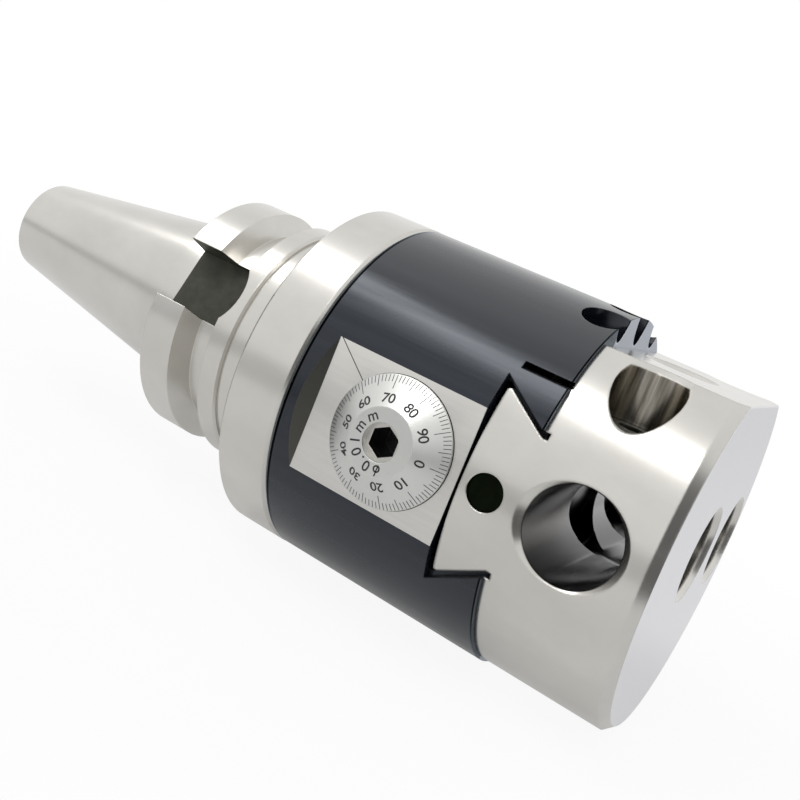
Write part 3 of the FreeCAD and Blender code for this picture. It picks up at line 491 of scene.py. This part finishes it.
slide_steel = ground_steel("slide_steel", roughness=0.22, edge=0.0007)
along, side, height = slide_steel.parts(slide_steel.place.outputs["Object"])
clamp_holes = []
for x, y in clamp_places:
    from_hole = slide_steel.parts(slide_steel.mapped(centre=(x, y, 0)))
    clamp_holes.append(slide_steel.all_of(
        slide_steel.within(clamp_hole_radius, from_hole[0], from_hole[1]),
        slide_steel.about(from_hole[2], clamp_hole_middle, clamp_hole_reach)))
axial_bores = []
for y in (slide_shift, slide_shift + bore_pitch):
    from_bore = slide_steel.parts(slide_steel.mapped(centre=(0, y, 0)))
    axial_bores.append(slide_steel.all_of(
        slide_steel.within(axial_radius, from_bore[1], from_bore[2]),
        slide_steel.about(from_bore[0], axial_middle, axial_reach)))
from_cross = slide_steel.parts(slide_steel.mapped(centre=(cross_place, 0, 0)))
in_cross = slide_steel.within(cross_radius, from_cross[0], from_cross[2])

# Painted shade: each tool bore goes from black deep inside to grey near its mouth.
depth_share = slide_steel.spread(along, start=0.1235, end=0.1300)
axial_bore_shade = slide_steel.blend(depth_share, (0.010, 0.010, 0.009), (0.52, 0.50, 0.46))
# Painted shade: the cross bore is grey round its middle height and black towards top and bottom.
side_share = slide_steel.spread(slide_steel.work_out("ABSOLUTE", height), start=0.0035, end=0.0092)
cross_bore_shade = slide_steel.blend(side_share, (0.22, 0.215, 0.215), (0.010, 0.010, 0.008))
oil_streaks = slide_steel.spread(slide_steel.grain((420, 420, 24), detail=5.0), start=0.38, end=0.62)
tapped_wall = slide_steel.blend(oil_streaks, (0.07, 0.058, 0.040), (0.50, 0.47, 0.41))

# Painted light: the nose face is painted paler than the ground steel, for the light it catches.
colour = slide_steel.blend(slide_steel.above(along, nose_face), slide_steel.colour, (0.76, 0.76, 0.79))
colour = slide_steel.blend(slide_steel.any_of(*axial_bores), colour, axial_bore_shade)
colour = slide_steel.blend(in_cross, colour, cross_bore_shade)
colour = slide_steel.blend(slide_steel.any_of(*clamp_holes), colour, tapped_wall)
slide_steel.give("Base Color", colour)
machine(["slide"], slide_steel.material)

# Screws of the slide: the dark plug that locks the nut's post, three clamp screws over the tool
# bores and three screws across the slit of the head, all blackened, with hexagon sockets. The
# plug's black is dull and nearly without shine.
plug_black = Finish("plug_black", metallic=0.0)
plug_colour = plug_black.mottle((500, 500, 500), (0.001, 0.002, 0.0005), (0.003, 0.006, 0.0015))
plug_black.give("Base Color", plug_colour)
plug_black.give("Roughness", 0.55)
plug_black.give("Specular IOR Level", 0.04)
machine(["nut_plug"], plug_black.material)
machine(["clamp_screw_cross", "clamp_screw_centre", "clamp_screw_outer"], blackened.material)
machine(["lock_screw_front", "lock_screw_middle", "lock_screw_rear"], blackened.material)

# Floor, a pale sheet that runs out to white. For the camera, and in part for reflections, it
# glows by itself; all else sees its plain colour, so that it shows a shadow and adds no light.
floor_size, floor_place = 6, (0.03, 0, -0.0421)
shade_from, shade_to, shade_level = 0.10, 0.28, 0.92
mirror_share = 0.45

sheet = Finish("pale_sheet", metallic=0.0)
sheet.give("Base Color", (0.92, 0.92, 0.93))
sheet.give("Roughness", 0.9)
distance = sheet.nodes.new("ShaderNodeVectorMath")
distance.operation = "LENGTH"
sheet.feed(distance.inputs[0], sheet.place.outputs["Object"])
whiteness = sheet.spread(distance.outputs["Value"], shade_level, 1.0, shade_from, shade_to)
ray = sheet.nodes.new("ShaderNodeLightPath")
to_camera = sheet.work_out("MULTIPLY", whiteness, ray.outputs["Is Camera Ray"])
to_both = sheet.work_out("MULTIPLY_ADD", ray.outputs["Is Glossy Ray"], mirror_share, to_camera)
glow = sheet.nodes.new("ShaderNodeEmission")
mixed = sheet.nodes.new("ShaderNodeMixShader")
for socket, source in zip(mixed.inputs, (to_both, sheet.shader.outputs[0], glow.outputs[0])):
    sheet.feed(socket, source)
sheet.feed(sheet.nodes["Material Output"].inputs["Surface"], mixed.outputs[0])
let_go()
bpy.ops.mesh.primitive_plane_add(size=floor_size, location=floor_place)
floor = bpy.context.object
floor.name = "floor"
coat(floor, sheet.material)

# Studio: a white surround that lights at half strength and shows white to the camera, in metal
# and in glass, one long softbox overhead, and grey cards that metal shows as darker bands.
surround_light = 0.5
object_middle = Vector((0.05, 0, 0))
lamp_place, lamp_energy = Vector((-0.22, -0.34, 0.71)), 3.1
lamp_length, lamp_width = 1.2, 0.15

world = bpy.data.worlds.new("studio")
world.use_nodes = True
bpy.context.scene.world = world
world_nodes, world_links = world.node_tree.nodes, world.node_tree.links
seeing = world_nodes.new("ShaderNodeLightPath")
seen = seeing.outputs["Is Camera Ray"]
for kind in ("Is Glossy Ray", "Is Transmission Ray"):
    either = world_nodes.new("ShaderNodeMath")
    either.operation = "MAXIMUM"
    world_links.new(seen, either.inputs[0])
    world_links.new(seeing.outputs[kind], either.inputs[1])
    seen = either.outputs[0]
strength = world_nodes.new("ShaderNodeMapRange")
strength.inputs["To Min"].default_value = surround_light
strength.inputs["To Max"].default_value = 1.0
world_links.new(seen, strength.inputs["Value"])
sky = world_nodes["Background"]
sky.inputs["Color"].default_value = (1, 1, 1, 1)
world_links.new(strength.outputs[0], sky.inputs["Strength"])


def point_at(aim, thing, place):
    thing.rotation_euler = (Vector(aim) - Vector(place)).to_track_quat("-Z", "Y").to_euler()


let_go()
bpy.ops.object.light_add(type="AREA", location=lamp_place)
lamp = bpy.context.object
lamp.name = "overhead"
lamp.data.shape = "RECTANGLE"
lamp.data.size = lamp_length
lamp.data.size_y = lamp_width
lamp.data.energy = lamp_energy
point_at(object_middle, lamp, lamp_place)


def grey_card(name, place, size, aim, shade):
    """A grey card beside the set: metal shows it as a darker band, and nothing else does."""
    let_go()
    bpy.ops.mesh.primitive_plane_add(size=1, location=place)
    card = bpy.context.object
    card.name = name
    card.data.transform(Matrix.Diagonal((*size, 1, 1)))
    point_at(aim, card, place)
    paper = bpy.data.materials.new(name)
    paper.use_nodes = True
    paper.node_tree.nodes["Principled BSDF"].inputs["Base Color"].default_value = (shade, shade, shade, 1)
    coat(card, paper)
    card.visible_camera = False
    card.visible_diffuse = False
    card.visible_shadow = False


grey_card("card_front", place=(-0.05, -0.46, -0.0415), size=(1.5, 0.6), aim=(-0.05, -0.46, 1.0), shade=0.62)
grey_card("card_right", place=(0.75, -0.26, 0.12), size=(0.70, 0.36), aim=(0.13, -0.26, 0.12), shade=0.17)
grey_card(
    "card_under_right", place=(0.45, -0.12, -0.0412), size=(0.44, 0.5), aim=(0.45, -0.12, 1.0), shade=0.17)

# Camera, at the place and with the lens that the photograph's own perspective gives. The lens
# and its centre are in pixels of the photograph, and right and down are the picture's own sides.
frame_pixels, lens_pixels, centre_across, centre_down = 800, 1131.24, 339.37, 296.33
camera_place = Vector((0.16627, -0.24975, 0.05063))
picture_right = Vector((0.79955, 0.47618, 0.36602))
picture_down = Vector((0.37583, 0.07869, -0.92334))
sensor_width = 36

camera_data = bpy.data.cameras.new("camera")
camera_data.sensor_width = sensor_width
camera_data.lens = lens_pixels / frame_pixels * sensor_width
camera_data.shift_x = 0.5 - centre_across / frame_pixels
camera_data.shift_y = centre_down / frame_pixels - 0.5
camera_data.clip_start = 0.01
camera = bpy.data.objects.new("camera", camera_data)
bpy.context.scene.collection.objects.link(camera)
towards_camera = picture_down.cross(picture_right)
camera_turn = Matrix((picture_right, -picture_down, towards_camera)).transposed().to_4x4()
camera.matrix_world = Matrix.Translation(camera_place) @ camera_turn
bpy.context.scene.camera = camera
bpy.context.scene.view_settings.view_transform = "Standard"
